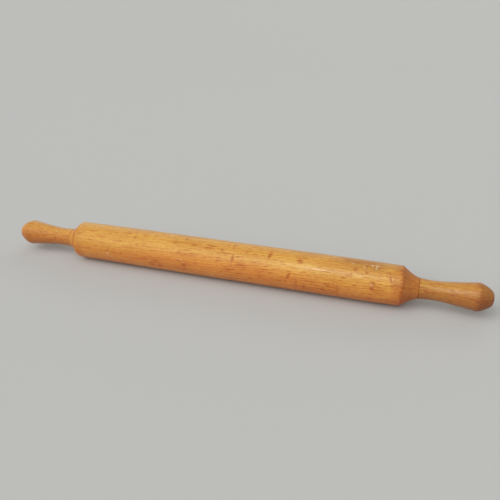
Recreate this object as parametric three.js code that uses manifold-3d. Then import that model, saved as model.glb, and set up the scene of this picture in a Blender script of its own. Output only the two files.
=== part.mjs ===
// Rolling pin: a crowned beech roller with a revolving handle at each end.
// Millimetres, +Z up, the roller's axis along X, resting on z = 0.
import * as THREE from "three";
import { mergeVertices } from "three/addons/utils/BufferGeometryUtils.js";
import Module from "manifold-3d";

const wasm = await Module();
wasm.setup();

// Roller
const ROLLER_DIAMETER = 55;
const ROLLER_LENGTH = 474; // between the two rims
const CROWN = 0.7; // how far the rims lie below the straight middle
const STRAIGHT_LENGTH = 195; // middle stretch with no crown
const RIM_ROUND = 1.7;
const LEFT_SHOULDER_LENGTH = 16.5; // rim to seam, turned shorter than the other
const RIGHT_SHOULDER_LENGTH = 21.5;
const SHOULDER_BEND = 0.38; // where a shoulder bends, as a share of its length from the seam
const SHOULDER_BEND_RISE = 2.3; // height of that bend above the neck
const NECK_DIAMETER = 27.8; // roller and handle alike, at the seam

// Handle
const HANDLE_LENGTH = 90;
const WAIST_DIAMETER = 25.6;
const WAIST_FROM_SEAM = 18.5;
const FLARE_BEND_FROM_WAIST = 13;
const KNOB_DIAMETER = 36.6;
const KNOB_FROM_TIP = 18.8;
const DOME_SHOULDER = 5; // how far the dome carries on the line of the flare
const DOME_EDGE_FROM_TIP = 1.8;
const DOME_EDGE_RISE = 4;
const TIP_LIP = 0.7; // wood left round the plug

// Spindle
const SHANK_DIAMETER = 8;
const HEAD_DIAMETER = 13;
const HEAD_HEIGHT = 5;
const SLOT_WIDTH = 1.6;
const SLOT_DEPTH = 2.2;
const SHANK_IN_ROLLER = 14; // plain stretch inside the neck
const THREAD_LENGTH = 40;
const THREAD_PITCH = 4;
const THREAD_DEPTH = 1.1;
const SPINDLE_POINT = 5;

// Sleeve, washers and plug
const SLEEVE_WALL = 1;
const SEAM_WASHER_THICKNESS = 0.5;
const SEAM_WASHER_INSET = 2.6; // how far its edge lies below the neck
const HEAD_WASHER_THICKNESS = 1.2;
const PLUG_LENGTH = 14;
const PLUG_RECESS = 0.3;
const PLUG_CHAMFER = 0.8;
const PLUG_TO_HEAD = 6; // empty length between head and plug

// Clearances
const SEAM_GAP = 0.4; // between the neck faces of roller and handle
const RUNNING_GAP = 0.3; // between a turning piece and what it turns on, on the radius
const SEAT_GAP = 0.2; // between pieces that are pressed or clamped together
const HEAD_CLEARANCE = 0.8; // between the head and the wall of its hole

// Smoothness
const SIDES = 48;
const BORE_SIDES = 32;
const THREAD_SIDES = 16;
const THREAD_RINGS_PER_TURN = 4;
const CURVE_STEPS = 8;
const SHORT_CURVE_STEPS = 4;

// Derived sizes. Distances along a side are measured outwards from the neck face of the roller.
const rollerRadius = ROLLER_DIAMETER / 2;
const rimRadius = rollerRadius - CROWN;
const neckRadius = NECK_DIAMETER / 2;
const neckFace = (LEFT_SHOULDER_LENGTH + ROLLER_LENGTH + RIGHT_SHOULDER_LENGTH) / 2;
const shankRadius = SHANK_DIAMETER / 2;
const headRadius = HEAD_DIAMETER / 2;
const sleeveInner = shankRadius + RUNNING_GAP;
const sleeveOuter = sleeveInner + SLEEVE_WALL;
const handleBore = sleeveOuter + SEAT_GAP;
const rollerBore = shankRadius + SEAT_GAP;
const headHole = headRadius + HEAD_CLEARANCE;
const tipRadius = headHole + TIP_LIP;
const seamWasherOuter = neckRadius - SEAM_WASHER_INSET;
const washerSeat = SEAT_GAP + SEAM_WASHER_THICKNESS + RUNNING_GAP;
const washerSeatRadius = seamWasherOuter + RUNNING_GAP;
const handleTip = SEAM_GAP + HANDLE_LENGTH;
const plugTop = handleTip - PLUG_RECESS;
const plugFoot = plugTop - PLUG_LENGTH;
const headTop = plugFoot - PLUG_TO_HEAD;
const headSeat = headTop - HEAD_HEIGHT;
const headHoleFloor = headSeat - SEAT_GAP - HEAD_WASHER_THICKNESS - RUNNING_GAP;
const threadStart = -SHANK_IN_ROLLER;
const threadEnd = threadStart - THREAD_LENGTH;
const spindleEnd = threadEnd - SPINDLE_POINT;

const beech = { color: 0xcf9a54, roughness: 0.55 };
const steel = { color: 0xa3a5a6, roughness: 0.35, metalness: 0.9 };
const brass = { color: 0xb89650, roughness: 0.35, metalness: 0.9 };

// Turns a profile of (distance along X, radius) points about X. The flat sides lie on the true radius,
// and a flat side is lowest.
function turned(profile, sides) {
  const halfSide = Math.PI / sides;
  const points = profile.map((p) => new THREE.Vector2(p.y / Math.cos(halfSide), p.x));
  return new THREE.LatheGeometry(points, sides, halfSide).rotateZ(-Math.PI / 2);
}

function straight(...pairs) {
  return pairs.map(([along, radius]) => new THREE.Vector2(along, radius));
}

// A plain ring between two radii and two distances along X.
function ring(inner, outer, from, to, sides) {
  return turned(straight([from, inner], [from, outer], [to, outer], [to, inner], [from, inner]), sides);
}

function toSolid(geometry) {
  const bare = new THREE.BufferGeometry().setAttribute("position", geometry.getAttribute("position"));
  bare.setIndex(geometry.getIndex());
  const merged = mergeVertices(bare);
  const vertProperties = new Float32Array(merged.getAttribute("position").array);
  const triVerts = new Uint32Array(merged.getIndex().array);
  return new wasm.Manifold(new wasm.Mesh({ numProp: 3, vertProperties, triVerts }));
}

function toGeometry(solid) {
  const { vertProperties, triVerts } = solid.getMesh();
  const geometry = new THREE.BufferGeometry();
  geometry.setAttribute("position", new THREE.BufferAttribute(vertProperties, 3));
  return geometry.setIndex(new THREE.BufferAttribute(triVerts, 1));
}

function piece(name, geometry, look) {
  const mesh = new THREE.Mesh(geometry, new THREE.MeshStandardMaterial(look));
  mesh.name = name;
  return mesh;
}

// Half of the roller's profile, from the straight middle to the bottom of the hole for the spindle.
function rollerHalf(shoulderLength) {
  const rim = new THREE.Vector2(neckFace - shoulderLength, rimRadius);
  const bend = new THREE.Vector2(neckFace - SHOULDER_BEND * shoulderLength, neckRadius + SHOULDER_BEND_RISE);
  const belowRim = bend.clone().sub(rim).setLength(RIM_ROUND).add(rim);
  const crownMiddle = (STRAIGHT_LENGTH / 2 + rim.x) / 2;
  const crown = new THREE.Path().moveTo(STRAIGHT_LENGTH / 2, rollerRadius);
  crown.quadraticCurveTo(crownMiddle, rollerRadius, rim.x - RIM_ROUND, rimRadius);
  const edge = new THREE.Path().moveTo(rim.x - RIM_ROUND, rimRadius);
  edge.quadraticCurveTo(rim.x, rim.y, belowRim.x, belowRim.y);
  const shoulder = new THREE.Path().moveTo(belowRim.x, belowRim.y);
  shoulder.quadraticCurveTo(bend.x, bend.y, neckFace, neckRadius);
  const holeEnd = neckFace + threadEnd - SEAT_GAP;
  return [
    ...crown.getPoints(SHORT_CURVE_STEPS),
    ...edge.getPoints(SHORT_CURVE_STEPS).slice(1),
    ...shoulder.getPoints(CURVE_STEPS).slice(1),
    ...straight([neckFace, rollerBore], [holeEnd, rollerBore], [holeEnd - SPINDLE_POINT, 0]),
  ];
}

function roller() {
  const right = rollerHalf(RIGHT_SHOULDER_LENGTH);
  const left = rollerHalf(LEFT_SHOULDER_LENGTH).map((p) => new THREE.Vector2(-p.x, p.y)).reverse();
  return turned([...left, ...right], SIDES);
}

// A handle, with a shallow seat for the seam washer in its neck face.
function handle() {
  const waist = SEAM_GAP + WAIST_FROM_SEAM;
  const waistRadius = WAIST_DIAMETER / 2;
  const knob = handleTip - KNOB_FROM_TIP;
  const knobRadius = KNOB_DIAMETER / 2;
  const flareBend = waist + FLARE_BEND_FROM_WAIST;
  const flareSlope = (knobRadius - waistRadius) / (knob - flareBend);
  const neck = new THREE.Path().moveTo(SEAM_GAP, neckRadius);
  neck.quadraticCurveTo((SEAM_GAP + waist) / 2, waistRadius, waist, waistRadius);
  const flare = new THREE.Path().moveTo(waist, waistRadius);
  flare.quadraticCurveTo(flareBend, waistRadius, knob, knobRadius);
  const dome = new THREE.Path().moveTo(knob, knobRadius);
  dome.bezierCurveTo(
    knob + DOME_SHOULDER,
    knobRadius + DOME_SHOULDER * flareSlope,
    handleTip - DOME_EDGE_FROM_TIP,
    tipRadius + DOME_EDGE_RISE,
    handleTip,
    tipRadius,
  );
  return turned(
    [
      ...straight([washerSeat, handleBore], [washerSeat, washerSeatRadius], [SEAM_GAP, washerSeatRadius]),
      ...neck.getPoints(SHORT_CURVE_STEPS),
      ...flare.getPoints(CURVE_STEPS).slice(1),
      ...dome.getPoints(CURVE_STEPS).slice(1),
      ...straight([handleTip, headHole], [headHoleFloor, headHole], [headHoleFloor, handleBore]),
      ...straight([washerSeat, handleBore]),
    ],
    SIDES,
  );
}

// The coarse wood thread: a plain core whose points are moved out to a ridge that winds along it and fades
// at both ends.
function thread() {
  const rings = Math.round((THREAD_LENGTH / THREAD_PITCH) * THREAD_RINGS_PER_TURN);
  const core = shankRadius - THREAD_DEPTH;
  const profile = [new THREE.Vector2(spindleEnd, 0)];
  for (let i = 0; i <= rings; i++) {
    profile.push(new THREE.Vector2(threadEnd + (THREAD_LENGTH * i) / rings, core));
  }
  profile.push(new THREE.Vector2(threadStart, 0));
  const geometry = turned(profile, THREAD_SIDES);
  const position = geometry.getAttribute("position");
  for (let i = 0; i < position.count; i++) {
    const x = position.getX(i);
    const radius = Math.hypot(position.getY(i), position.getZ(i));
    if (radius < core) continue;
    const turn = Math.atan2(position.getZ(i), position.getY(i)) / (2 * Math.PI);
    const phase = 2 * Math.PI * (x / THREAD_PITCH - turn);
    const fade = Math.min(1, (x - threadEnd) / THREAD_PITCH, (threadStart - x) / THREAD_PITCH);
    const scale = 1 + ((THREAD_DEPTH / core) * fade * (1 + Math.cos(phase))) / 2;
    position.setXYZ(i, x, position.getY(i) * scale, position.getZ(i) * scale);
  }
  return geometry;
}

function spindle() {
  const shank = turned(
    straight(
      [threadStart - THREAD_PITCH, 0],
      [threadStart, shankRadius],
      [headSeat, shankRadius],
      [headSeat, headRadius],
      [headTop, headRadius],
      [headTop, 0],
    ),
    BORE_SIDES,
  );
  const slot = new THREE.BoxGeometry(2 * SLOT_DEPTH, SLOT_WIDTH, 2 * HEAD_DIAMETER);
  slot.translate(headTop, 0, 0);
  return toGeometry(toSolid(shank).add(toSolid(thread())).subtract(toSolid(slot)));
}

function endPlug() {
  const plugRadius = headHole - SEAT_GAP;
  return turned(
    straight(
      [plugFoot, 0],
      [plugFoot, plugRadius - PLUG_CHAMFER],
      [plugFoot + PLUG_CHAMFER, plugRadius],
      [plugTop, plugRadius],
      [plugTop, 0],
    ),
    BORE_SIDES,
  );
}

// Everything at one end, built outwards along +X from the neck face.
function end(side) {
  const seamWasherFrom = SEAT_GAP;
  const seamWasherTo = SEAT_GAP + SEAM_WASHER_THICKNESS;
  const headWasherTo = headSeat - SEAT_GAP;
  const headWasherFrom = headWasherTo - HEAD_WASHER_THICKNESS;
  const washerInner = shankRadius + SEAT_GAP;
  const headWasherOuter = headHole - RUNNING_GAP;
  const seamWasher = ring(washerInner, seamWasherOuter, seamWasherFrom, seamWasherTo, BORE_SIDES);
  const headWasher = ring(washerInner, headWasherOuter, headWasherFrom, headWasherTo, BORE_SIDES);
  const sleeve = ring(sleeveInner, sleeveOuter, washerSeat, headHoleFloor, BORE_SIDES);
  return new THREE.Group().add(
    piece(`${side}_handle`, handle(), beech),
    piece(`${side}_spindle`, spindle(), steel),
    piece(`${side}_sleeve`, sleeve, brass),
    piece(`${side}_seam_washer`, seamWasher, steel),
    piece(`${side}_head_washer`, headWasher, steel),
    piece(`${side}_end_plug`, endPlug(), beech),
  );
}

const right = end("right");
right.position.x = neckFace;
const left = end("left");
left.position.x = -neckFace;
left.rotation.z = Math.PI;

const pin = new THREE.Group();
pin.position.z = rollerRadius;
pin.add(piece("roller", roller(), beech), left, right);

export default pin;
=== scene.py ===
"""Looks of the rolling pin: an oiled beech roller with hollow shoulders, a turning beech handle at each
end, the plugs in their tips, and the steel and brass that carry them. Metres, +Z up, the axis along X."""

import math
import random

import bmesh
import bpy
import numpy as np
from mathutils import Euler, Matrix, Vector
from mathutils.geometry import interpolate_bezier


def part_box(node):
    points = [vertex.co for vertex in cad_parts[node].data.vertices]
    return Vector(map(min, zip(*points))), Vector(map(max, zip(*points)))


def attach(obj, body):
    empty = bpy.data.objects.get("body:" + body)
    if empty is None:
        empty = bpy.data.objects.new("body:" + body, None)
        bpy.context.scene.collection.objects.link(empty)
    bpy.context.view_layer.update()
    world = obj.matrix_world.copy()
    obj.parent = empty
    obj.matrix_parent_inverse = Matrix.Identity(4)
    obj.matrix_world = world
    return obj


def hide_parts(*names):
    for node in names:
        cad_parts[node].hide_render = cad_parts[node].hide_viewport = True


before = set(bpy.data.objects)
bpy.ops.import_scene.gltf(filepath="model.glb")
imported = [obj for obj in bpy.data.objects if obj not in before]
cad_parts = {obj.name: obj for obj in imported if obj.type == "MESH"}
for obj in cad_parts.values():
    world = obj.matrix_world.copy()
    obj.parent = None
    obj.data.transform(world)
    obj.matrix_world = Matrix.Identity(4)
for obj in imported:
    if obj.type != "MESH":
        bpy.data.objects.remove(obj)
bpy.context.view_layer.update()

MM = 0.001
SIDES = ("left", "right")

# Sizes taken from the frame
ROLLER_LOW, ROLLER_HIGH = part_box("roller")
HANDLE_LOW, HANDLE_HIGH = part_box("right_handle")
PLUG_LOW, PLUG_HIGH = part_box("right_end_plug")
SLEEVE_LOW, SLEEVE_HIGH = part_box("right_sleeve")
SPINDLE_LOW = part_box("right_spindle")[0]
WASHER_LOW, WASHER_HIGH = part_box("right_seam_washer")
AXIS_HEIGHT = (ROLLER_LOW.z + ROLLER_HIGH.z) / 2
ROLLER_RADIUS = (ROLLER_HIGH.z - ROLLER_LOW.z) / 2
NECK_FACE = ROLLER_HIGH.x
HANDLE_FACE = HANDLE_LOW.x
HANDLE_TIP = HANDLE_HIGH.x
PLUG_RADIUS = (PLUG_HIGH.z - PLUG_LOW.z) / 2
SLEEVE_RADIUS = (SLEEVE_HIGH.z - SLEEVE_LOW.z) / 2
WASHER_RADIUS = (WASHER_HIGH.z - WASHER_LOW.z) / 2

# Sizes of the turned wood
LEFT_SHOULDER_LENGTH = 16.5 * MM
RIGHT_SHOULDER_LENGTH = 21.5 * MM
LEFT_RIM = NECK_FACE - LEFT_SHOULDER_LENGTH
RIGHT_RIM = NECK_FACE - RIGHT_SHOULDER_LENGTH
CROWN = 0.7 * MM
STRAIGHT_HALF = 97.5 * MM
RIM_ROUND = 1.7 * MM
NECK_RADIUS = 13.9 * MM
NECK_EASE = 0.12 * MM
SHOULDER_BEND = 0.38
SHOULDER_BEND_RISE = 2.3 * MM
WAIST_RADIUS = 12.8 * MM
WAIST_FROM_SEAM = 18.5 * MM
FLARE_BEND_FROM_WAIST = 13 * MM
KNOB_RADIUS = 18.3 * MM
KNOB_FROM_TIP = 18.8 * MM
DOME_SHOULDER = 5 * MM
DOME_EDGE_FROM_TIP = 1.8 * MM
DOME_EDGE_RISE = 4 * MM
TIP_LIP = 0.7 * MM
FIT_GAP = 0.2 * MM
RUNNING_GAP = 0.3 * MM
SHANK_RADIUS = 4 * MM
SPINDLE_POINT = 5 * MM
PLUG_CHAMFER = 0.8 * MM
PLUG_DOME = 0.25 * MM
PLUG_DOME_BEND = 0.8

# Fineness of the turned meshes
ROLLER_STEPS = 184
HANDLE_STEPS = 144
PLUG_STEPS = 64
RING_SPACING = 1.1 * MM
EDGE_RINGS = 6
MERGE_WITHIN = 0.001 * MM
SHARP_ANGLE = math.radians(38)

# Camera, worked out from the outline of the pin
CAMERA_PLACE = (0.1961, -0.5917, 0.3741)
CAMERA_PITCH = math.radians(27.84)
CAMERA_YAW = math.radians(15.9)
CAMERA_ROLL = math.radians(0.38)
SENSOR = 36
LENS = 35.89


# Outlines

def bent(start, corner, end, count):
    """Points of a curve from start to end that leaves and arrives along the lines to corner."""
    start, corner, end = (Vector((x, r, 0)) for x, r in (start, corner, end))
    pull = 2 / 3
    points = interpolate_bezier(start, start.lerp(corner, pull), end.lerp(corner, pull), end, count)
    return [(p.x, p.y) for p in points]


def bent_twice(start, leaving, arriving, end, count):
    points = interpolate_bezier(*(Vector((x, r, 0)) for x, r in (start, leaving, arriving, end)), count)
    return [(p.x, p.y) for p in points]


def rings_over(length):
    return max(EDGE_RINGS, round(length / RING_SPACING))


def roller_half(shoulder_length):
    """From the end of the straight middle over the rim and shoulder, then in along the spindle's hole."""
    rim_place = NECK_FACE - shoulder_length
    rim_radius = ROLLER_RADIUS - CROWN
    bend = Vector((NECK_FACE - SHOULDER_BEND * shoulder_length, NECK_RADIUS + SHOULDER_BEND_RISE))
    rim = Vector((rim_place, rim_radius))
    below_rim = rim + (bend - rim).normalized() * RIM_ROUND
    hole_radius = SHANK_RADIUS + FIT_GAP
    hole_end = SPINDLE_LOW.x + SPINDLE_POINT - FIT_GAP
    half = bent((STRAIGHT_HALF, ROLLER_RADIUS), ((STRAIGHT_HALF + rim_place) / 2, ROLLER_RADIUS),
                (rim_place - RIM_ROUND, rim_radius), rings_over(rim_place - STRAIGHT_HALF))
    half += bent((rim_place - RIM_ROUND, rim_radius), rim, below_rim, EDGE_RINGS)[1:]
    half += bent(below_rim, bend, (NECK_FACE - NECK_EASE, NECK_RADIUS), rings_over(shoulder_length))[1:]
    half += bent((NECK_FACE - NECK_EASE, NECK_RADIUS), (NECK_FACE, NECK_RADIUS),
                 (NECK_FACE, NECK_RADIUS - NECK_EASE), EDGE_RINGS)[1:]
    half += [(NECK_FACE, hole_radius), (hole_end, hole_radius), (SPINDLE_LOW.x - FIT_GAP, 0)]
    return half


def roller_outline():
    """From the bottom of the left hole, out over the whole roller, to the bottom of the right hole."""
    left = [(-x, r) for x, r in reversed(roller_half(LEFT_SHOULDER_LENGTH))]
    count = rings_over(2 * STRAIGHT_HALF)
    middle = [(STRAIGHT_HALF * (2 * i / count - 1), ROLLER_RADIUS) for i in range(1, count)]
    return left + middle + roller_half(RIGHT_SHOULDER_LENGTH)


def handle_outline():
    """The right handle as a closed outline: washer's seat, seam, waist, flare, dome, tip and hole."""
    waist = HANDLE_FACE + WAIST_FROM_SEAM
    knob = HANDLE_TIP - KNOB_FROM_TIP
    flare_bend = waist + FLARE_BEND_FROM_WAIST
    slope = (KNOB_RADIUS - WAIST_RADIUS) / (knob - flare_bend)
    hole_radius = PLUG_RADIUS + FIT_GAP
    tip_radius = hole_radius + TIP_LIP
    bore_radius = SLEEVE_RADIUS + FIT_GAP
    hole_floor = SLEEVE_HIGH.x
    seat = SLEEVE_LOW.x
    seat_radius = WASHER_RADIUS + RUNNING_GAP
    outline = [(seat, bore_radius), (seat, seat_radius), (HANDLE_FACE, seat_radius)]
    outline += bent((HANDLE_FACE, NECK_RADIUS - NECK_EASE), (HANDLE_FACE, NECK_RADIUS),
                    (HANDLE_FACE + NECK_EASE, NECK_RADIUS), EDGE_RINGS)
    outline += bent((HANDLE_FACE + NECK_EASE, NECK_RADIUS), ((HANDLE_FACE + waist) / 2, WAIST_RADIUS),
                    (waist, WAIST_RADIUS), rings_over(WAIST_FROM_SEAM))[1:]
    outline += bent((waist, WAIST_RADIUS), (flare_bend, WAIST_RADIUS), (knob, KNOB_RADIUS),
                    rings_over(knob - waist))[1:]
    outline += bent_twice((knob, KNOB_RADIUS), (knob + DOME_SHOULDER, KNOB_RADIUS + DOME_SHOULDER * slope),
                          (HANDLE_TIP - DOME_EDGE_FROM_TIP, tip_radius + DOME_EDGE_RISE),
                          (HANDLE_TIP, tip_radius), 2 * rings_over(KNOB_FROM_TIP))[1:]
    outline += [(HANDLE_TIP, hole_radius), (hole_floor, hole_radius), (hole_floor, bore_radius)]
    return outline + outline[:1]


def plug_outline():
    shoulder = PLUG_LOW.x + PLUG_CHAMFER
    outline = [(PLUG_LOW.x, 0), (PLUG_LOW.x, PLUG_RADIUS - PLUG_CHAMFER), (shoulder, PLUG_RADIUS)]
    outline += bent((PLUG_HIGH.x - PLUG_DOME, PLUG_RADIUS), (PLUG_HIGH.x, PLUG_RADIUS * PLUG_DOME_BEND),
                    (PLUG_HIGH.x, 0), 2 * EDGE_RINGS)
    return outline


# Meshes

def turned(name, outline, steps):
    """A solid turned about the axis of the pin. Its outline is closed, or starts and ends on the axis."""
    bm = bmesh.new()
    verts = [bm.verts.new((x, 0, AXIS_HEIGHT + r)) for x, r in outline]
    edges = [bm.edges.new(pair) for pair in zip(verts, verts[1:])]
    bmesh.ops.spin(bm, geom=verts + edges, cent=(0, 0, AXIS_HEIGHT), axis=(1, 0, 0), angle=math.tau,
                   steps=steps, use_merge=True)
    bmesh.ops.remove_doubles(bm, verts=bm.verts, dist=MERGE_WITHIN)
    bmesh.ops.recalc_face_normals(bm, faces=bm.faces)
    for face in bm.faces:
        face.smooth = True
    mesh = bpy.data.meshes.new(name)
    bm.to_mesh(mesh)
    bm.free()
    mesh.set_sharp_from_angle(angle=SHARP_ANGLE)
    piece = bpy.data.objects.new(name, mesh)
    bpy.context.scene.collection.objects.link(piece)
    return piece


def turned_round(piece):
    """Half a turn about the vertical, kept in the mesh: a right-hand piece becomes the left-hand one."""
    for v in piece.data.vertices:
        v.co.x, v.co.y = -v.co.x, -v.co.y


MARK_KINDS = ("bruise_and_shade", "grime", "pale")


class Skin:
    """The points of a turned piece, as distance along X, angle round the axis and radius, and its marks."""

    def __init__(self, piece):
        self.mesh = piece.data
        count = len(self.mesh.vertices)
        flat = np.empty(count * 3)
        self.mesh.vertices.foreach_get("co", flat)
        self.points = flat.reshape(-1, 3)
        self.x = self.points[:, 0]
        up = self.points[:, 2] - AXIS_HEIGHT
        self.angle = np.arctan2(up, -self.points[:, 1])
        self.radius = np.hypot(self.points[:, 1], up)
        self.shades = {kind: np.zeros(count) for kind in MARK_KINDS}

    def near(self, x, degrees, across, along, lean):
        """A soft mask, 1 at a place on the skin. across is its size round the axis, along its size on X."""
        turn = (self.angle - math.radians(degrees) + math.pi) % math.tau - math.pi
        s = turn * self.radius
        t = self.x - x
        a = s * math.cos(lean) + t * math.sin(lean)
        b = t * math.cos(lean) - s * math.sin(lean)
        return np.exp(-np.abs(2 * a / across) ** 2 - np.abs(2 * b / along) ** 2)

    def mark(self, kind, marks):
        """Press each mark in by its depth, and shade the skin there by its strength."""
        for x, degrees, across, along, lean, depth, strength in marks:
            mask = self.near(x * MM, degrees, across * MM, along * MM, math.radians(lean))
            self.radius = self.radius - depth * MM * mask
            self.shades[kind] = np.maximum(self.shades[kind], strength * mask)

    def finish(self):
        self.points[:, 1] = -self.radius * np.cos(self.angle)
        self.points[:, 2] = AXIS_HEIGHT + self.radius * np.sin(self.angle)
        self.mesh.vertices.foreach_set("co", self.points.ravel())
        for kind, values in self.shades.items():
            attribute = self.mesh.attributes.new(kind, "FLOAT", "POINT")
            attribute.data.foreach_set("value", np.clip(values, 0, 1).astype(np.float32))
        self.mesh.update()


# Marks of use, and painted shade among the stains. Each is its distance along X in mm, its angle in degrees
# (0 faces the viewer, 90 is the top), its size round the piece and along it in mm, its lean in degrees, its
# depth in mm and its strength
DENTS = (
    (8.5, 37, 13.5, 3.4, 4, 0.35, 1),
    (59.5, 63, 13, 3.8, 12, 0.3, 1),
    (88.5, 12, 11, 3.6, 24, 0.35, 1),
    (101, 59, 7, 6.5, 10, 0.3, 0.9),
    (103.5, 55, 3.4, 4.5, 0, 0.1, 1),
    (220, 43, 13, 2.4, -14, 0.12, 1),
    (223, 24, 4, 9, 0, 0.15, 0.9),
    (199, 26, 3.6, 8, 10, 0.2, 0.95),
    (197.5, 12, 4.4, 7, 0, 0.25, 1),
    (189, 52, 3, 4.5, 30, 0.2, 0.85),
    (174.5, 57, 5, 4, 0, 0.2, 0.8),
    (-8.5, 60, 6.5, 3.2, -8, 0.15, 0.85),
    (7, 71, 13, 3.6, 0, 0.15, 0.3),
    (15.5, 44, 3, 5, 0, 0.1, 0.7),
    (26, 62, 5, 2.6, -20, 0.1, 0.5),
    (99.5, -10, 12, 3.6, 0, 0.15, 0.6),
    (109.5, -17, 10, 3.2, 10, 0.15, 0.6),
    (142.5, -2, 8, 4, 0, 0.2, 0.6),
    (136, -14, 6, 7, 30, 0.1, 0.5),
    (154, -14, 12, 4, 0, 0.1, 0.5),
    (-65, 82, 10, 3.2, 0, 0.1, 0.55),
    (-136.5, 38, 2.6, 3.2, 0, 0.15, 0.95),
    (-141.5, 61, 8, 3.4, 10, 0.1, 0.5),
)
STAINS_AND_SHADE = (
    # Painted shade and grime: the next two rows darken the seam with the left handle, where the gap between
    # the parts lies in shade.
    (-255.9, 0, 900, 0.9, 0, 0, 0.1),
    (-255.7, 54, 9, 1.6, 0, 0, 0.3),
    # Partly painted shade and partly end grain: a dark ring where the left shoulder folds in behind the rim.
    (-242.8, 0, 900, 6, 0, 0, 0.35),
    # Painted shade: the lower front of the left shoulder drawn darker.
    (-249.5, -20, 30, 11, 0, 0, 0.45),
    # Painted shade and grime: the next two rows darken the seam with the right handle, where the gap between
    # the parts lies in shade.
    (255.9, 0, 900, 0.9, 0, 0, 0.3),
    (255.7, 32, 12, 1.6, 0, 0, 0.75),
    (236.4, 0, 900, 3, 0, 0, 0.3),
    # Painted shade: the lower front of the right shoulder drawn darker.
    (246, -25, 44, 22, 0, 0, 0.25),
    (-235, 50, 30, 10, 0, 0, 0.27),
    (-233, -8, 30, 16, 0, 0, 0.41),
    (-106.5, -6, 8, 10, 0, 0, 0.61),
    (-111.5, -20, 8, 9, -30, 0, 0.61),
    (-99.5, -21, 8, 8, 0, 0, 0.61),
    (-62, -2, 6, 9, 0, 0, 0.68),
    (-26, 68, 2.8, 8, 0, 0, 0.81),
    (-26, 60, 3, 9, 0, 0, 0.74),
    (-31, 56, 2.8, 5, 0, 0, 0.61),
    (-50, 62, 3, 11, 0, 0, 0.68),
    (-79, 62, 3.4, 8, 0, 0, 0.68),
    (-2.5, 50, 2.8, 16, 0, 0, 0.68),
    (19.5, 24, 5, 12, 0, 0, 0.68),
    (3.5, 4, 5, 10, 0, 0, 0.54),
    (-153, 72, 2.8, 9, 0, 0, 0.81),
    (-128.5, 72, 2.8, 11, 0, 0, 0.68),
    (-213.5, 62, 2.8, 11, 0, 0, 0.61),
    (-226.5, 57, 3, 5, 0, 0, 0.54),
    (229, 64, 36, 15, 0, 0, 0.5),
    (228.5, 24, 24, 15, 0, 0, 0.75),
    (229, -12, 26, 14, 0, 0, 0.5),
    (206, 14, 12, 26, 0, 0, 0.4),
    (170, 40, 10, 2.4, 0, 0, 0.45),
    (164, 37, 8, 2, 0, 0, 0.4),
)
GRIME = (
    (188, 90, 27, 84, 0, 0, 0.74),
    (112, 94, 24, 60, 0, 0, 0.3),
    (201, 72, 14, 26, 0, 0, 0.75),
    (162, 92, 12, 16, 0, 0, 0.85),
    (172, 84, 12, 2.6, 0, 0, 0.75),
    (182, 75, 13, 3.4, 0, 0, 0.8),
    (188.5, 74, 16, 5, 6, 0, 0.9),
    (200, 69, 11, 7, 0, 0, 0.85),
    (206, 73, 9, 3, 0, 0, 0.8),
    (128, 80, 10, 3, -14, 0, 0.45),
)
PALE_MARKS = (
    (-183, -5, 2.4, 3.2, 20, 0, 1),
    (-218.5, -26, 2.4, 3.4, 20, 0, 0.6),
    (-89.5, 90, 3, 4, 0, 0, 0.9),
    (-73.5, 92, 2.4, 2.6, 0, 0, 0.5),
    (-22, -29, 2.2, 2.4, 0, 0, 0.9),
    (-204.5, 92, 2.6, 7, 0, 0, 0.4),
    (-179, 93, 2.6, 8, 0, 0, 0.4),
    (23.5, 76, 2, 3, 0, 0, 0.4),
    (145, 96, 3, 3, 0, 0, 0.7),
    (-68, 12, 1.8, 5, 0, 0, 0.5),
    (-63, 4, 1.6, 4, 0, 0, 0.4),
    (-235, 74, 2.2, 2.2, 0, 0, 0.5),
    (196.8, 19, 1.8, 2.4, 0, 0, 1),
    (200.5, 76, 9, 2.4, 0, 0, 0.8),
    (195.5, 79, 4, 3, 30, 0, 0.8),
    (203, 80, 2.4, 4, 0, 0, 0.6),
    (185, 69, 5, 2, -8, 0, 0.35),
    (170.5, 77, 2.2, 4, 0, 0, 0.5),
    (224, 83, 4, 2, 0, 0, 0.5),
)
LEFT_HANDLE_DENTS = (
    (-279.5, 44, 2, 2.4, 0, 0.15, 0.6),
    (-297, 56, 3, 2, 0, 0.1, 0.3),
    (-269.5, 35, 3, 3, 30, 0.1, 0.4),
)
LEFT_HANDLE_STAINS_AND_SHADE = (
    # Painted shade and grime: the handle's side of the dark seam.
    (-256.5, 0, 900, 0.9, 0, 0, 0.1),
)
LEFT_HANDLE_PALE = (
    (-280.5, 57, 1.6, 2, 0, 0, 0.7),
)
RIGHT_HANDLE_DENTS = (
    (264.5, 20, 4, 3.4, 0, 0.1, 0.5),
    (266.5, 7, 3, 2.6, 0, 0.1, 0.5),
    (274.5, 8, 3, 2.6, 0, 0.1, 0.4),
    (296.5, 44, 2, 8, 0, 0.1, 0.4),
)
RIGHT_HANDLE_STAINS_AND_SHADE = (
    # Painted shade and grime: the handle's side of the dark seam.
    (256.5, 0, 900, 0.9, 0, 0, 0.2),
    (345.8, 25, 6, 2.6, 0, 0, 0.8),
    # Painted shade: these two rows dim the upper side of the right handle and its knob, where the lamp's
    # sheen falls.
    (312, 65, 44, 30, 0, 0, 0.22),
    (324, 68, 40, 14, 0, 0, 0.35),
)
RIGHT_HANDLE_PALE = ()

# Dents invented for the side that faces away, in the same units
WEAR_SEED = 11
HIDDEN_COUNT = 16
HIDDEN_REACH = 225
HIDDEN_SIDE = (112, 315)
HIDDEN_ACROSS = (2, 11)
SHORT_DENT = 5
SHORT_DENT_ALONG = (2, 8)
LONG_DENT_ALONG = (2.2, 3.6)
HIDDEN_LEAN = (-25, 25)
HIDDEN_DEPTH = (0.1, 0.35)
HIDDEN_STRENGTH = (0.35, 0.8)


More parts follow.
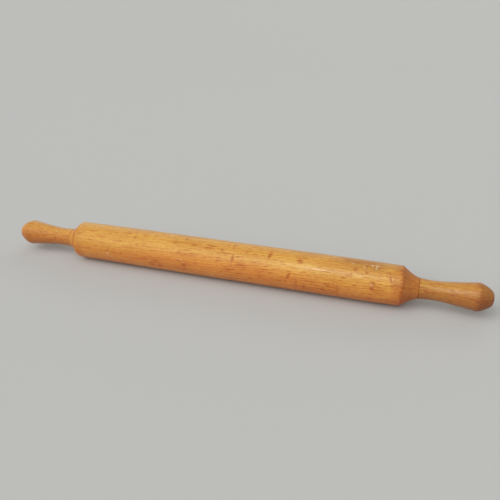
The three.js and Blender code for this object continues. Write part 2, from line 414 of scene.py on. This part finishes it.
def hidden_marks():
    """Dents for the side that faces away, of the same kinds as those in front."""
    rng = random.Random(WEAR_SEED)
    marks = []
    for _ in range(HIDDEN_COUNT):
        across = rng.uniform(*HIDDEN_ACROSS)
        along = rng.uniform(*(SHORT_DENT_ALONG if across < SHORT_DENT else LONG_DENT_ALONG))
        x = rng.uniform(-HIDDEN_REACH, HIDDEN_REACH)
        degrees = rng.uniform(*HIDDEN_SIDE)
        lean = rng.uniform(*HIDDEN_LEAN)
        depth = rng.uniform(*HIDDEN_DEPTH)
        strength = rng.uniform(*HIDDEN_STRENGTH)
        marks.append((x, degrees, across, along, lean, depth, strength))
    return marks


def mark(piece, bruises_and_shade=(), grime=(), pale_marks=()):
    """Press the dents into a turned piece and note where it is bruised, stained and darkened as painted
    shade, grimy, and pale.
    """
    skin = Skin(piece)
    for kind, marks in zip(MARK_KINDS, (bruises_and_shade, grime, pale_marks)):
        skin.mark(kind, marks)
    skin.finish()


# Nodes

def add(tree, kind, inputs=None, **settings):
    """A node of that kind. An input that is a socket is linked, and any other is set."""
    node = tree.nodes.new(kind)
    for name, value in settings.items():
        setattr(node, name, value)
    for key, value in (inputs or {}).items():
        socket = node.inputs[key]
        if isinstance(value, bpy.types.NodeSocket):
            tree.links.new(value, socket)
        else:
            socket.default_value = value
    return node


def maths(tree, operation, *values, clamp=False):
    node = add(tree, "ShaderNodeMath", dict(enumerate(values)), operation=operation, use_clamp=clamp)
    return node.outputs[0]


def vector_maths(tree, operation, *values):
    return add(tree, "ShaderNodeVectorMath", dict(enumerate(values)), operation=operation).outputs[0]


def remap(tree, value, low, high, to_low=0.0, to_high=1.0):
    node = add(tree, "ShaderNodeMapRange", {"Value": value, "From Min": low, "From Max": high,
                                            "To Min": to_low, "To Max": to_high})
    return node.outputs["Result"]


def blend(tree, amount, a, b, mode="MIX"):
    node = add(tree, "ShaderNodeMix", {0: amount, 6: a, 7: b}, data_type="RGBA", blend_type=mode)
    return node.outputs[2]


def speckle(tree, place, detail=2.0, roughness=0.5):
    return add(tree, "ShaderNodeTexNoise", {"Vector": place, "Scale": 1.0, "Detail": detail,
                                            "Roughness": roughness})


def new_group(name, inputs, outputs):
    """An empty node group with named sockets, and the nodes that hold its inputs and outputs."""
    tree = bpy.data.node_groups.new(name, "ShaderNodeTree")
    for label, kind, value in inputs:
        socket = tree.interface.new_socket(label, in_out="INPUT", socket_type="NodeSocket" + kind)
        socket.default_value = value
    for label, kind in outputs:
        tree.interface.new_socket(label, in_out="OUTPUT", socket_type="NodeSocket" + kind)
    return tree, tree.nodes.new("NodeGroupInput").outputs, tree.nodes.new("NodeGroupOutput").inputs


def place_group(tree, group, inputs):
    return add(tree, "ShaderNodeGroup", inputs, node_tree=group).outputs


def flecks(tree, grain, cell, small, large):
    """Short dashes along the grain. cell is how many of them there are to a mm along X, Y and Z."""
    place = vector_maths(tree, "MULTIPLY", grain, cell)
    cells = add(tree, "ShaderNodeTexVoronoi", {"Vector": place, "Scale": 1.0})
    pick = add(tree, "ShaderNodeSeparateColor", {0: cells.outputs["Color"]}).outputs
    size = remap(tree, pick[0], 0.0, 1.0, small, large)
    dash = remap(tree, maths(tree, "DIVIDE", cells.outputs["Distance"], size), 1.0, 0.4)
    return maths(tree, "MULTIPLY", dash, remap(tree, pick[1], 0.1, 0.9))


# Grain of the beech: how fine each pattern is, per mm along X, Y and Z, and how much of the tone it gives
TO_MM = (1000, 1000, 1000)
GRAIN_LEAN = 0.035
SWAY = (0.012, 0.04, 0.04)
SWAY_REACH = (0, 7, 7)
RING_SCALE = 0.085
RING_WOBBLE = 1.6
STREAK = (0.012, 0.6, 0.6)
FIGURE = (0.1, 0.5, 0.5)
HAIR = (0.06, 2.6, 2.6)
BROAD = (0.012, 0.035, 0.035)
LONG_RAYS = (0.1, 0.6, 0.6)
SHORT_RAYS = (0.2, 1.0, 1.0)
SHORT_RAY_STRENGTH = 0.7
OIL = (0.05, 0.55, 0.55)
SPOKES = (0, 17, 17)
SPOKES_ALONG = (0.22, 0, 0)
RING_TONE = 0.22
STREAK_TONE = 0.3
FIGURE_TONE = 0.3
HAIR_TONE = 0.12
BROAD_TONE = 0.3
MIDDLE_TONE = 0.62
PALE_TINT = (1.12, 1.2, 1.25, 1)
DARK_TINT = (0.84, 0.7, 0.62, 1)
RAY_TINT = (0.74, 0.48, 0.38, 1)
RAY_DEPTH = 0.75


def beech_group():
    """Solid beech with its grain along X: golden sapwood and redder heartwood, growth rings, streaks, wavy
    figure and the short dark dashes of its rays. Its two masks, one for heartwood and one for end grain, are
    both
    partly painted shade: the heartwood lies on the side that faces down and to the front, drawn redder and
    darker as in shade, and the end grain shows fully only at the right end, which gets less light. Figure is
    how bold the grain is."""
    tree, given, out = new_group(
        "beech",
        [
            ("Place", "Vector", (0, 0, 0)),
            ("Pith", "Vector", (0, 0, 0)),
            ("Sapwood", "Color", (1, 1, 1, 1)),
            ("Shaded Heartwood", "Color", (1, 1, 1, 1)),
            ("Heart and Shade", "Float", 0.0),
            ("Figure", "Float", 1.0),
            ("End Grain and Shade", "Float", 0.0),
            ("End Tint", "Color", (1, 1, 1, 1)),
        ],
        [("Colour", "Color"), ("Roughness", "Float"), ("Oil", "Float"), ("Height", "Float")],
    )
    link = tree.links.new
    mm = vector_maths(tree, "MULTIPLY", given["Place"], TO_MM)
    sway = speckle(tree, vector_maths(tree, "MULTIPLY", mm, SWAY), 3.0)
    sway = vector_maths(tree, "SUBTRACT", sway.outputs["Color"], (0.5, 0.5, 0.5))
    along = add(tree, "ShaderNodeSeparateXYZ", {0: mm}).outputs[0]
    lean = add(tree, "ShaderNodeCombineXYZ", {2: maths(tree, "MULTIPLY", along, -GRAIN_LEAN)}).outputs[0]
    grain = vector_maths(tree, "ADD", mm, vector_maths(tree, "MULTIPLY", sway, SWAY_REACH))
    grain = vector_maths(tree, "ADD", grain, lean)
    pith = vector_maths(tree, "MULTIPLY", given["Pith"], TO_MM)
    rings = add(tree, "ShaderNodeTexWave",
                {"Vector": vector_maths(tree, "SUBTRACT", grain, pith), "Scale": RING_SCALE,
                 "Distortion": RING_WOBBLE,
                 "Detail": 3.0, "Detail Scale": 1.0},
                wave_type="RINGS", rings_direction="X", wave_profile="SAW").outputs["Fac"]
    streak = speckle(tree, vector_maths(tree, "MULTIPLY", grain, STREAK), 4.0, 0.6).outputs["Fac"]
    streak = remap(tree, streak, 0.32, 0.68)
    figure = speckle(tree, vector_maths(tree, "MULTIPLY", grain, FIGURE), 3.0, 0.6).outputs["Fac"]
    figure = remap(tree, figure, 0.3, 0.7)
    hair = speckle(tree, vector_maths(tree, "MULTIPLY", grain, HAIR), 2.0).outputs["Fac"]
    hair = remap(tree, hair, 0.3, 0.7)
    broad = speckle(tree, vector_maths(tree, "MULTIPLY", mm, BROAD), 2.0).outputs["Fac"]
    broad = remap(tree, broad, 0.3, 0.7)
    rays = maths(tree, "MAXIMUM", flecks(tree, grain, LONG_RAYS, 0.22, 0.58),
                 maths(tree, "MULTIPLY", flecks(tree, grain, SHORT_RAYS, 0.2, 0.5), SHORT_RAY_STRENGTH))
    tone = maths(tree, "MULTIPLY", rings, RING_TONE)
    tone = maths(tree, "MULTIPLY_ADD", streak, STREAK_TONE, tone)
    tone = maths(tree, "MULTIPLY_ADD", figure, FIGURE_TONE, tone)
    tone = maths(tree, "MULTIPLY_ADD", hair, HAIR_TONE, tone)
    tone = maths(tree, "MULTIPLY_ADD", broad, BROAD_TONE, tone)
    tone = maths(tree, "MULTIPLY", maths(tree, "SUBTRACT", tone, MIDDLE_TONE), given["Figure"])
    outward = vector_maths(tree, "SUBTRACT", given["Place"], (0, 0, AXIS_HEIGHT))
    outward = vector_maths(tree, "NORMALIZE", vector_maths(tree, "MULTIPLY", outward, (0, 1, 1)))
    spokes = vector_maths(tree, "ADD", vector_maths(tree, "MULTIPLY", outward, SPOKES),
                          vector_maths(tree, "MULTIPLY", mm, SPOKES_ALONG))
    spokes = remap(tree, speckle(tree, spokes, 3.0, 0.6).outputs["Fac"], 0.3, 0.7, -0.7, 0.7)
    lengthwise = maths(tree, "SUBTRACT", 1.0, given["End Grain and Shade"])
    rays = maths(tree, "MULTIPLY", rays, lengthwise)
    tone = maths(tree, "MULTIPLY", tone, lengthwise)
    tone = maths(tree, "MULTIPLY_ADD", spokes, given["End Grain and Shade"], tone)
    tone = maths(tree, "ADD", tone, 0.5, clamp=True)
    heart_and_shade = maths(tree, "ADD", given["Heart and Shade"], maths(tree, "MULTIPLY_ADD", streak, 0.5, -0.25), clamp=True)
    colour = blend(tree, heart_and_shade, given["Sapwood"], given["Shaded Heartwood"])
    toned = blend(tree, tone, PALE_TINT, DARK_TINT)
    colour = blend(tree, 1.0, colour, toned, "MULTIPLY")
    rayed = blend(tree, 1.0, colour, RAY_TINT, "MULTIPLY")
    boldness = maths(tree, "MULTIPLY", given["Figure"], RAY_DEPTH)
    ray_depth = maths(tree, "MULTIPLY", rays, boldness, clamp=True)
    colour = blend(tree, ray_depth, colour, rayed)
    ended = blend(tree, 1.0, colour, given["End Tint"], "MULTIPLY")
    link(blend(tree, given["End Grain and Shade"], colour, ended), out["Colour"])
    rough = maths(tree, "MULTIPLY_ADD", figure, 0.16, 0.25)
    link(maths(tree, "MULTIPLY_ADD", given["End Grain and Shade"], 0.15, rough), out["Roughness"])
    oil = speckle(tree, vector_maths(tree, "MULTIPLY", grain, OIL), 3.0, 0.6).outputs["Fac"]
    oil = maths(tree, "MULTIPLY", remap(tree, oil, 0.5, 0.68), lengthwise)
    link(maths(tree, "MULTIPLY_ADD", oil, 0.3, 0.02), out["Oil"])
    height = maths(tree, "MULTIPLY_ADD", hair, 0.25, maths(tree, "MULTIPLY", streak, 0.5))
    height = maths(tree, "MULTIPLY_ADD", figure, 0.4, height)
    link(maths(tree, "MULTIPLY_ADD", rays, -0.2, height), out["Height"])
    return tree


# Marks of use and painted shade: how the grain breaks them up, per metre, and what they do to the wood
BREAK_UP = (250, 900, 900)
BRUISE_AND_SHADE_TINT = (0.62, 0.28, 0.18, 1)
GRIME_TINT = (0.55, 0.42, 0.5, 1)
PALE_COLOUR = (0.84, 0.7, 0.42, 1)


def use_group():
    """Marks of use and painted shade, broken up by the grain. Bruises, stains and painted shade redden and
    darken the wood, grime greys it, and scuffs and flour leave it pale."""
    tree, given, out = new_group(
        "marks_of_use",
        [
            ("Place", "Vector", (0, 0, 0)),
            ("Wood", "Color", (1, 1, 1, 1)),
            ("Bruise_and_shade", "Float", 0.0),
            ("Grime", "Float", 0.0),
            ("Pale", "Float", 0.0),
        ],
        [("Colour", "Color"), ("Dullness", "Float")],
    )
    grain = vector_maths(tree, "MULTIPLY", given["Place"], BREAK_UP)
    broken = speckle(tree, grain, 3.0, 0.6).outputs["Fac"]
    patchy = remap(tree, broken, 0.25, 0.55, 0.6, 1.0)
    bruise_and_shade = maths(tree, "MULTIPLY", given["Bruise_and_shade"], patchy)
    grime = maths(tree, "MULTIPLY", given["Grime"], patchy)
    pale = maths(tree, "MULTIPLY", given["Pale"], remap(tree, broken, 0.4, 0.6, 0.25, 1.0))
    colour = given["Wood"]
    for amount, tint in ((bruise_and_shade, BRUISE_AND_SHADE_TINT), (grime, GRIME_TINT)):
        colour = blend(tree, amount, colour, blend(tree, 1.0, colour, tint, "MULTIPLY"))
    tree.links.new(blend(tree, pale, colour, PALE_COLOUR), out["Colour"])
    dull = maths(tree, "MAXIMUM", maths(tree, "MAXIMUM", bruise_and_shade, grime), pale)
    tree.links.new(dull, out["Dullness"])
    return tree


# Colours of the wood, where its heart shows and where its end grain starts, with the painted shade they
# carry
ROLLER_SAPWOOD = (0.655, 0.34, 0.057, 1)
ROLLER_SHADED_HEARTWOOD = (0.63, 0.228, 0.042, 1)
LEFT_HANDLE_SAPWOOD = (0.61, 0.285, 0.046, 1)
LEFT_HANDLE_SHADED_HEARTWOOD = (0.48, 0.162, 0.027, 1)
# Painted shade: the right handle's colours are a darker copy of the left handle's, for the right end gets
# less light.
RIGHT_HANDLE_SHADED_SAPWOOD = (0.55, 0.268, 0.046, 1)
RIGHT_HANDLE_SHADED_HEARTWOOD = (0.385, 0.138, 0.027, 1)
ROLLER_END_TINT = (0.765, 0.54, 0.52, 1)
HANDLE_END_TINT = (0.71, 0.575, 0.57, 1)
# Painted shade: the redder, darker heartwood is laid toward the lower front side, so that side is drawn as
# in shade; the rest of it is real heartwood.
HEART_AND_SHADE_SIDE = (0, -0.75, -0.66)
HEART_AND_SHADE_BOW = 0.3
HEART_AND_SHADE_BOW_MIDDLE = -20 * MM
ROLLER_HEART_AND_SHADE = (1 * MM, 18 * MM, 8 * MM)
HANDLE_HEART_AND_SHADE = (-3 * MM, 11 * MM, 0)
# Painted shade: the end grain tint shows fully at the right end and weakly at the left, for the right
# shoulder and knob face away from the light; the tint itself is real end grain.
END_GRAIN_AND_SHADE_SHOWS = (0.3, 1.0)
LEFT_END_FADE = (-249 * MM, -243 * MM)
LEFT_END_GRAIN = LEFT_RIM + 1.2 * MM
RIGHT_END_GRAIN = RIGHT_RIM - 1.5 * MM
ROLLER_END_MIDDLE = (RIGHT_END_GRAIN - LEFT_END_GRAIN) / 2
ROLLER_END_FROM = (RIGHT_END_GRAIN + LEFT_END_GRAIN) / 2
ROLLER_END_SOFT = 1.2 * MM
HANDLE_END_FROM = HANDLE_TIP - KNOB_FROM_TIP - 2 * MM
HANDLE_END_SOFT = 5 * MM
PLUG_END_SOFT = 1 * MM
END_TEETH = (10, 760, 760)
END_TOOTH = 10 * MM
END_TOOTH_START = 6.2 * MM
BOLD_SPAN = (-180 * MM, 20 * MM)
ROLLER_BOLD = (1.45, 1.8)
HANDLE_BOLD = (1.3, 1.5)
PLUG_BOLD = (1.0, 1.0)
ROLLER_PITH = (0, -0.04, 0)
LEFT_HANDLE_PITH = (0, -0.03, 0.07)
RIGHT_HANDLE_PITH = (0, -0.02, -0.03)
LEFT_PLUG_PITH = (0, 0.02, 0.04)
RIGHT_PLUG_PITH = (0, 0.015, 0.035)
GRAIN_BUMP = 0.8
GRAIN_RELIEF = 0.25 * MM
WOOD_SHEEN = 0.4
OIL_ROUGHNESS = 0.15
DULL_ROUGHNESS = 0.15

BEECH = beech_group()
USE = use_group()


def new_material(name):
    material = bpy.data.materials.new(name)
    material.use_nodes = True
    tree = material.node_tree
    return material, tree, tree.nodes["Principled BSDF"]


def wood_material(name, pith, sapwood, shaded_heartwood, heart_and_shade, middle, end_from, end_soft, end_tint, figure):
    """Oiled beech. Farther than end_from from middle, along X, the lathe has cut across the grain. This end
    grain is drawn fully only at the right end, partly as painted shade.
    """
    material, tree, shader = new_material(name)
    place = tree.nodes.new("ShaderNodeTexCoord").outputs["Object"]
    along = add(tree, "ShaderNodeSeparateXYZ", {0: place}).outputs[0]
    teeth = speckle(tree, vector_maths(tree, "MULTIPLY", place, END_TEETH), 0.0).outputs["Fac"]
    edge = maths(tree, "MULTIPLY_ADD", teeth, END_TOOTH, end_from - END_TOOTH_START)
    from_middle = maths(tree, "ABSOLUTE", maths(tree, "SUBTRACT", along, middle))
    end = remap(tree, maths(tree, "SUBTRACT", from_middle, edge), 0.0, end_soft)
    # Painted shade: the end grain is weakened toward the left end, so the right end is drawn darker.
    end = maths(tree, "MULTIPLY", end, remap(tree, along, *LEFT_END_FADE, *END_GRAIN_AND_SHADE_SHOWS))
    bold = remap(tree, along, *BOLD_SPAN, *figure)
    # Painted shade: nearness to the lower front side sets the redder heartwood colour, which stands partly
    # for shade there.
    from_axis = vector_maths(tree, "SUBTRACT", place, (0, 0, AXIS_HEIGHT))
    toward = add(tree, "ShaderNodeVectorMath", {0: from_axis, 1: HEART_AND_SHADE_SIDE}, operation="DOT_PRODUCT")
    heart_and_shade_from, heart_and_shade_full, heart_and_shade_bow = heart_and_shade
    bow = maths(tree, "POWER", maths(tree, "SUBTRACT", along, HEART_AND_SHADE_BOW_MIDDLE), 2.0)
    bow = maths(tree, "MINIMUM", maths(tree, "MULTIPLY", bow, HEART_AND_SHADE_BOW), heart_and_shade_bow)
    inward = maths(tree, "SUBTRACT", toward.outputs["Value"], bow)
    redness = remap(tree, inward, heart_and_shade_from, heart_and_shade_full)
    wood = place_group(tree, BEECH, {
        "Place": place, "Pith": pith, "Sapwood": sapwood, "Shaded Heartwood": shaded_heartwood,
        "Heart and Shade": redness, "Figure": bold, "End Grain and Shade": end, "End Tint": end_tint,
    })
    marks = {"Place": place, "Wood": wood["Colour"]}
    for kind in MARK_KINDS:
        marks[kind.capitalize()] = add(tree, "ShaderNodeAttribute", attribute_name=kind).outputs["Fac"]
    used = place_group(tree, USE, marks)
    bump = add(tree, "ShaderNodeBump", {"Strength": GRAIN_BUMP, "Distance": GRAIN_RELIEF,
                                        "Height": wood["Height"]})
    tree.links.new(used["Colour"], shader.inputs["Base Color"])
    rough = maths(tree, "MULTIPLY_ADD", used["Dullness"], DULL_ROUGHNESS, wood["Roughness"])
    tree.links.new(rough, shader.inputs["Roughness"])
    oil = maths(tree, "MULTIPLY", wood["Oil"], maths(tree, "SUBTRACT", 1.0, used["Dullness"]))
    tree.links.new(oil, shader.inputs["Coat Weight"])
    tree.links.new(bump.outputs["Normal"], shader.inputs["Normal"])
    shader.inputs["Specular IOR Level"].default_value = WOOD_SHEEN
    shader.inputs["Coat Roughness"].default_value = OIL_ROUGHNESS
    return material


STEEL = (0.5, 0.5, 0.51, 1)
DULL_STEEL = (0.3, 0.29, 0.28, 1)
BLACK_STEEL = (0.06, 0.05, 0.042, 1)
BLACKEST_STEEL = (0.035, 0.028, 0.022, 1)
BRASS = (0.66, 0.47, 0.18, 1)
DULL_BRASS = (0.4, 0.26, 0.1, 1)
LATHE_MARKS = (4000, 60, 60)
TARNISH = (180, 180, 180)
LATHE_ROUGHNESS = 0.25


def metal_material(name, bright, dull, roughness):
    """Plain turned or drawn metal, with fine marks round its axis and a little tarnish."""
    material, tree, shader = new_material(name)
    place = tree.nodes.new("ShaderNodeTexCoord").outputs["Object"]
    marks = speckle(tree, vector_maths(tree, "MULTIPLY", place, LATHE_MARKS), 2.0).outputs["Fac"]
    tarnish = speckle(tree, vector_maths(tree, "MULTIPLY", place, TARNISH), 3.0).outputs["Fac"]
    colour = blend(tree, remap(tree, tarnish, 0.35, 0.7), bright, dull)
    tree.links.new(colour, shader.inputs["Base Color"])
    rough = maths(tree, "MULTIPLY_ADD", marks, LATHE_ROUGHNESS, roughness)
    tree.links.new(rough, shader.inputs["Roughness"])
    shader.inputs["Metallic"].default_value = 1.0
    return material


# Pieces

def dress(piece, body, node, material):
    piece.data.materials.append(material)
    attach(piece, body)
    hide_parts(node)


def make_roller():
    piece = turned("turned_roller", roller_outline(), ROLLER_STEPS)
    mark(piece, (*DENTS, *hidden_marks(), *STAINS_AND_SHADE), GRIME, PALE_MARKS)
    wood = wood_material("oiled_beech_roller", ROLLER_PITH, ROLLER_SAPWOOD, ROLLER_SHADED_HEARTWOOD, ROLLER_HEART_AND_SHADE,
                         ROLLER_END_MIDDLE, ROLLER_END_FROM, ROLLER_END_SOFT, ROLLER_END_TINT, ROLLER_BOLD)
    dress(piece, "roller", "roller", wood)


def make_handle(side, pith, sapwood, shaded_heartwood, dents, stains_and_shade, pale_marks):
    piece = turned(f"turned_{side}_handle", handle_outline(), HANDLE_STEPS)
    if side == "left":
        turned_round(piece)
    mark(piece, (*dents, *stains_and_shade), (), pale_marks)
    wood = wood_material(f"oiled_beech_{side}_handle", pith, sapwood, shaded_heartwood, HANDLE_HEART_AND_SHADE,
                         0.0, HANDLE_END_FROM, HANDLE_END_SOFT, HANDLE_END_TINT, HANDLE_BOLD)
    dress(piece, f"{side}_handle", f"{side}_handle", wood)


def make_plug(side, pith, sapwood, shaded_heartwood):
    piece = turned(f"turned_{side}_plug", plug_outline(), PLUG_STEPS)
    if side == "left":
        turned_round(piece)
    mark(piece)
    wood = wood_material(f"oiled_beech_{side}_plug", pith, sapwood, shaded_heartwood, HANDLE_HEART_AND_SHADE,
                         0.0, 0.0, PLUG_END_SOFT, HANDLE_END_TINT, PLUG_BOLD)
    dress(piece, f"{side}_handle", f"{side}_end_plug", wood)


def finish_metal():
    steel = metal_material("plain_steel", STEEL, DULL_STEEL, 0.25)
    dark_steel = metal_material("oil_blackened_steel", BLACK_STEEL, BLACKEST_STEEL, 0.4)
    brass = metal_material("drawn_brass", BRASS, DULL_BRASS, 0.25)
    for side in SIDES:
        for part, metal in (("spindle", steel), ("seam_washer", dark_steel), ("head_washer", steel),
                            ("sleeve", brass)):
            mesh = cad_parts[f"{side}_{part}"].data
            mesh.materials.clear()
            mesh.materials.append(metal)


# Stage

FAR = 60.0
FLOOR_COLOUR = (0.5, 0.5, 0.49, 1)
FLOOR_ROUGHNESS = 0.9
FLOOR_SHEEN = 0.1
WORLD_LIGHT = 0.42
BACKDROP_LIGHT = 0.515
BACKDROP_COLOUR = (1, 1, 0.976, 1)
CEILING_SIDE = (-0.3, -0.5, 0.8)
WINDOW_SIDE = (-1.4, -1.6, 1.6)
BACK_SIDE = (0.3, 1.0, 0.2)
LAMP_COLOUR = (0.85, 1, 0.9)
LAMP_PLACE = (0.03, -1.2, 1.66)
LAMP_AIM = (0.12, 0, 0.03)
LAMP_SIZE = (0.44, 0.26)
LAMP_POWER = 11
WALL_COLOUR = (0.85, 1, 1)
WALL_PLACE = (-0.6, 1.3, 0.9)
WALL_AIM = (-0.05, 0, 0.03)
WALL_SIZE = (2.2, 1.0)
WALL_POWER = 3.2
CEILING_POWER, CEILING_SPREAD = 1.0, 80
WINDOW_POWER, WINDOW_SPREAD = 1.48, 50
FILL_POWER, FILL_SPREAD = 0.8, 60


def make_floor():
    bm = bmesh.new()
    bmesh.ops.create_grid(bm, x_segments=1, y_segments=1, size=FAR)
    mesh = bpy.data.meshes.new("floor")
    bm.to_mesh(mesh)
    bm.free()
    floor = bpy.data.objects.new("floor", mesh)
    bpy.context.scene.collection.objects.link(floor)
    material, _, shader = new_material("pale_floor")
    shader.inputs["Base Color"].default_value = FLOOR_COLOUR
    shader.inputs["Roughness"].default_value = FLOOR_ROUGHNESS
    shader.inputs["Specular IOR Level"].default_value = FLOOR_SHEEN
    mesh.materials.append(material)


def add_soft_light(name, side, power, spread):
    """Even light from one side that leaves no sheen."""
    data = bpy.data.lights.new(name, "SUN")
    data.energy = power
    data.angle = math.radians(spread)
    light = bpy.data.objects.new(name, data)
    light.rotation_euler = Vector(side).to_track_quat("Z", "Y").to_euler()
    light.visible_glossy = False
    bpy.context.scene.collection.objects.link(light)


def add_panel(name, place, aim, size, power, colour):
    """A panel that only shows as sheen on the wood."""
    data = bpy.data.lights.new(name, "AREA")
    data.color = colour
    data.shape = "RECTANGLE"
    data.size, data.size_y = size
    data.energy = power
    light = bpy.data.objects.new(name, data)
    light.location = place
    light.rotation_euler = (Vector(aim) - Vector(place)).to_track_quat("-Z", "Y").to_euler()
    light.visible_diffuse = False
    bpy.context.scene.collection.objects.link(light)


def light_scene():
    world = bpy.data.worlds.new("studio")
    world.use_nodes = True
    tree = world.node_tree
    back = tree.nodes["Background"]
    path = tree.nodes.new("ShaderNodeLightPath").outputs
    seen = maths(tree, "MAXIMUM", path["Is Camera Ray"], path["Is Glossy Ray"])
    seen = maths(tree, "MAXIMUM", seen, path["Is Transmission Ray"])
    back.inputs["Color"].default_value = BACKDROP_COLOUR
    tree.links.new(remap(tree, seen, 0.0, 1.0, WORLD_LIGHT, BACKDROP_LIGHT), back.inputs["Strength"])
    bpy.context.scene.world = world
    add_soft_light("ceiling", CEILING_SIDE, CEILING_POWER, CEILING_SPREAD)
    add_soft_light("window", WINDOW_SIDE, WINDOW_POWER, WINDOW_SPREAD)
    add_soft_light("fill", BACK_SIDE, FILL_POWER, FILL_SPREAD)
    add_panel("lamp", LAMP_PLACE, LAMP_AIM, LAMP_SIZE, LAMP_POWER, LAMP_COLOUR)
    add_panel("wall", WALL_PLACE, WALL_AIM, WALL_SIZE, WALL_POWER, WALL_COLOUR)


def place_camera():
    data = bpy.data.cameras.new("camera")
    data.sensor_width = SENSOR
    data.lens = LENS
    camera = bpy.data.objects.new("camera", data)
    camera.location = CAMERA_PLACE
    level = Euler((math.pi / 2 - CAMERA_PITCH, 0, CAMERA_YAW)).to_matrix()
    camera.rotation_euler = (level @ Matrix.Rotation(CAMERA_ROLL, 3, "Z")).to_euler()
    bpy.context.scene.collection.objects.link(camera)
    bpy.context.scene.camera = camera


make_roller()
make_handle("left", LEFT_HANDLE_PITH, LEFT_HANDLE_SAPWOOD, LEFT_HANDLE_SHADED_HEARTWOOD,
            LEFT_HANDLE_DENTS, LEFT_HANDLE_STAINS_AND_SHADE, LEFT_HANDLE_PALE)
make_handle("right", RIGHT_HANDLE_PITH, RIGHT_HANDLE_SHADED_SAPWOOD, RIGHT_HANDLE_SHADED_HEARTWOOD,
            RIGHT_HANDLE_DENTS, RIGHT_HANDLE_STAINS_AND_SHADE, RIGHT_HANDLE_PALE)
make_plug("left", LEFT_PLUG_PITH, LEFT_HANDLE_SAPWOOD, LEFT_HANDLE_SHADED_HEARTWOOD)
make_plug("right", RIGHT_PLUG_PITH, RIGHT_HANDLE_SHADED_SAPWOOD, RIGHT_HANDLE_SHADED_HEARTWOOD)
finish_metal()
make_floor()
light_scene()
place_camera()
bpy.context.scene.view_settings.view_transform = "Standard"
